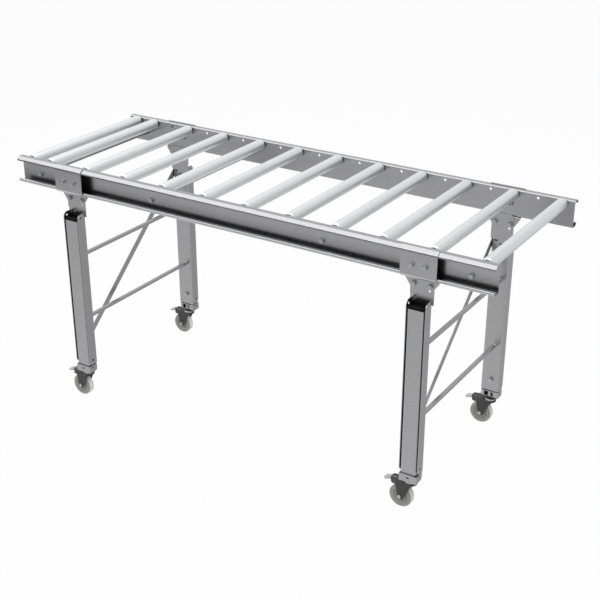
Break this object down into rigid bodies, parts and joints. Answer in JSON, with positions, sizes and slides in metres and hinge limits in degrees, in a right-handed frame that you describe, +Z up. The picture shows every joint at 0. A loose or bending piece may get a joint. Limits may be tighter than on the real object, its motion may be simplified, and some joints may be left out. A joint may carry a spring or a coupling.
{
  "type": "roller table",
  "caption": "Gravity roller table: plain steel rollers between two channel rails, on telescopic legs with braked swivel casters and braced end frames, for moving work between stations.",
  "frame": {"origin": "on the floor under the middle of the table", "axes": "+X along the rails to the right, +Y across them to the rear, +Z up"},
  "size_m": [1.65, 0.604, 0.8195],
  "materials": {
    "zinc_sheet": "plain zinc-plated sheet steel, satin",
    "zinc_tube": "bright zinc-plated steel tube",
    "steel_rod": "zinc-plated round bar, satin",
    "black_fork": "black, satin",
    "grey_polyamide": "light grey polyamide, matt",
    "grey_pedal": "light grey plastic, matt"
  },
  "bodies": {
    "frame": {"rail_front": "zinc_sheet", "rail_rear": "zinc_sheet", "cross_tie_1": "steel_rod", "cross_tie_2": "steel_rod", "cross_tie_3": "steel_rod", "cross_tie_4": "steel_rod", "roller_axle_01": "steel_rod", "roller_axle_02": "steel_rod", "roller_axle_03": "steel_rod", "roller_axle_04": "steel_rod", "roller_axle_05": "steel_rod", "roller_axle_06": "steel_rod", "roller_axle_07": "steel_rod", "roller_axle_08": "steel_rod", "roller_axle_09": "steel_rod", "roller_axle_10": "steel_rod", "roller_axle_11": "steel_rod", "roller_axle_12": "steel_rod", "rail_bracket_front_left": "zinc_sheet", "rail_bracket_front_right": "zinc_sheet", "rail_bracket_rear_left": "zinc_sheet", "rail_bracket_rear_right": "zinc_sheet", "leg_channel_front_left": "zinc_sheet", "leg_channel_front_right": "zinc_sheet", "leg_channel_rear_left": "zinc_sheet", "leg_channel_rear_right": "zinc_sheet", "brace_upper_left": "zinc_sheet", "brace_lower_left": "zinc_sheet", "brace_diagonal_left": "zinc_sheet", "brace_upper_right": "zinc_sheet", "brace_lower_right": "zinc_sheet", "brace_diagonal_right": "zinc_sheet"},
    "roller_01": {"roller_01": "zinc_tube"},
    "roller_02": {"roller_02": "zinc_tube"},
    "roller_03": {"roller_03": "zinc_tube"},
    "roller_04": {"roller_04": "zinc_tube"},
    "roller_05": {"roller_05": "zinc_tube"},
    "roller_06": {"roller_06": "zinc_tube"},
    "roller_07": {"roller_07": "zinc_tube"},
    "roller_08": {"roller_08": "zinc_tube"},
    "roller_09": {"roller_09": "zinc_tube"},
    "roller_10": {"roller_10": "zinc_tube"},
    "roller_11": {"roller_11": "zinc_tube"},
    "roller_12": {"roller_12": "zinc_tube"},
    "leg_front_left": {"leg_slider_front_left": "zinc_sheet"},
    "swivel_front_left": {"caster_fork_front_left": "black_fork"},
    "wheel_front_left": {"caster_wheel_front_left": "grey_polyamide"},
    "pedal_front_left": {"brake_pedal_front_left": "grey_pedal"},
    "leg_front_right": {"leg_slider_front_right": "zinc_sheet"},
    "swivel_front_right": {"caster_fork_front_right": "black_fork"},
    "wheel_front_right": {"caster_wheel_front_right": "grey_polyamide"},
    "pedal_front_right": {"brake_pedal_front_right": "grey_pedal"},
    "leg_rear_left": {"leg_slider_rear_left": "zinc_sheet"},
    "swivel_rear_left": {"caster_fork_rear_left": "black_fork"},
    "wheel_rear_left": {"caster_wheel_rear_left": "grey_polyamide"},
    "pedal_rear_left": {"brake_pedal_rear_left": "grey_pedal"},
    "leg_rear_right": {"leg_slider_rear_right": "zinc_sheet"},
    "swivel_rear_right": {"caster_fork_rear_right": "black_fork"},
    "wheel_rear_right": {"caster_wheel_rear_right": "grey_polyamide"},
    "pedal_rear_right": {"brake_pedal_rear_right": "grey_pedal"}
  },
  "joints": [
    {"name": "roller_01_spin", "type": "hinge", "parent": "frame", "child": "roller_01", "pos_m": [-0.7875, 0, 0.80204], "axis": [0, 1, 0], "continuous": true},
    {"name": "roller_02_spin", "type": "hinge", "parent": "frame", "child": "roller_02", "pos_m": [-0.7125, 0, 0.80204], "axis": [0, 1, 0], "continuous": true},
    {"name": "roller_03_spin", "type": "hinge", "parent": "frame", "child": "roller_03", "pos_m": [-0.5625, 0, 0.80204], "axis": [0, 1, 0], "continuous": true},
    {"name": "roller_04_spin", "type": "hinge", "parent": "frame", "child": "roller_04", "pos_m": [-0.4125, 0, 0.80204], "axis": [0, 1, 0], "continuous": true},
    {"name": "roller_05_spin", "type": "hinge", "parent": "frame", "child": "roller_05", "pos_m": [-0.2625, 0, 0.80204], "axis": [0, 1, 0], "continuous": true},
    {"name": "roller_06_spin", "type": "hinge", "parent": "frame", "child": "roller_06", "pos_m": [-0.1125, 0, 0.80204], "axis": [0, 1, 0], "continuous": true},
    {"name": "roller_07_spin", "type": "hinge", "parent": "frame", "child": "roller_07", "pos_m": [0.0375, 0, 0.80204], "axis": [0, 1, 0], "continuous": true},
    {"name": "roller_08_spin", "type": "hinge", "parent": "frame", "child": "roller_08", "pos_m": [0.1875, 0, 0.80204], "axis": [0, 1, 0], "continuous": true},
    {"name": "roller_09_spin", "type": "hinge", "parent": "frame", "child": "roller_09", "pos_m": [0.3375, 0, 0.80204], "axis": [0, 1, 0], "continuous": true},
    {"name": "roller_10_spin", "type": "hinge", "parent": "frame", "child": "roller_10", "pos_m": [0.4875, 0, 0.80204], "axis": [0, 1, 0], "continuous": true},
    {"name": "roller_11_spin", "type": "hinge", "parent": "frame", "child": "roller_11", "pos_m": [0.6375, 0, 0.80204], "axis": [0, 1, 0], "continuous": true},
    {"name": "roller_12_spin", "type": "hinge", "parent": "frame", "child": "roller_12", "pos_m": [0.7875, 0, 0.80204], "axis": [0, 1, 0], "continuous": true},
    {"name": "leg_front_left_slide", "type": "slide", "parent": "frame", "child": "leg_front_left", "axis": [0, 0, -1], "range_m": [0, 0.2]},
    {"name": "swivel_front_left_turn", "type": "hinge", "parent": "leg_front_left", "child": "swivel_front_left", "pos_m": [-0.61, -0.2783, 0.1], "axis": [0, 0, 1], "continuous": true},
    {"name": "wheel_front_left_spin", "type": "hinge", "parent": "swivel_front_left", "child": "wheel_front_left", "pos_m": [-0.637, -0.2783, 0.03704], "axis": [0, 1, 0], "continuous": true},
    {"name": "pedal_front_left_press", "type": "hinge", "parent": "swivel_front_left", "child": "pedal_front_left", "pos_m": [-0.662, -0.2783, 0.08404], "axis": [0, 1, 0], "range_deg": [-14, 0]},
    {"name": "leg_front_right_slide", "type": "slide", "parent": "frame", "child": "leg_front_right", "axis": [0, 0, -1], "range_m": [0, 0.2]},
    {"name": "swivel_front_right_turn", "type": "hinge", "parent": "leg_front_right", "child": "swivel_front_right", "pos_m": [0.61, -0.2783, 0.1], "axis": [0, 0, 1], "continuous": true},
    {"name": "wheel_front_right_spin", "type": "hinge", "parent": "swivel_front_right", "child": "wheel_front_right", "pos_m": [0.583, -0.2783, 0.03704], "axis": [0, 1, 0], "continuous": true},
    {"name": "pedal_front_right_press", "type": "hinge", "parent": "swivel_front_right", "child": "pedal_front_right", "pos_m": [0.558, -0.2783, 0.08404], "axis": [0, 1, 0], "range_deg": [-14, 0]},
    {"name": "leg_rear_left_slide", "type": "slide", "parent": "frame", "child": "leg_rear_left", "axis": [0, 0, -1], "range_m": [0, 0.2]},
    {"name": "swivel_rear_left_turn", "type": "hinge", "parent": "leg_rear_left", "child": "swivel_rear_left", "pos_m": [-0.61, 0.2783, 0.1], "axis": [0, 0, 1], "continuous": true},
    {"name": "wheel_rear_left_spin", "type": "hinge", "parent": "swivel_rear_left", "child": "wheel_rear_left", "pos_m": [-0.637, 0.2783, 0.03704], "axis": [0, 1, 0], "continuous": true},
    {"name": "pedal_rear_left_press", "type": "hinge", "parent": "swivel_rear_left", "child": "pedal_rear_left", "pos_m": [-0.662, 0.2783, 0.08404], "axis": [0, 1, 0], "range_deg": [-14, 0]},
    {"name": "leg_rear_right_slide", "type": "slide", "parent": "frame", "child": "leg_rear_right", "axis": [0, 0, -1], "range_m": [0, 0.2]},
    {"name": "swivel_rear_right_turn", "type": "hinge", "parent": "leg_rear_right", "child": "swivel_rear_right", "pos_m": [0.61, 0.2783, 0.1], "axis": [0, 0, 1], "continuous": true},
    {"name": "wheel_rear_right_spin", "type": "hinge", "parent": "swivel_rear_right", "child": "wheel_rear_right", "pos_m": [0.583, 0.2783, 0.03704], "axis": [0, 1, 0], "continuous": true},
    {"name": "pedal_rear_right_press", "type": "hinge", "parent": "swivel_rear_right", "child": "pedal_rear_right", "pos_m": [0.558, 0.2783, 0.08404], "axis": [0, 1, 0], "range_deg": [-14, 0]}
  ]
}
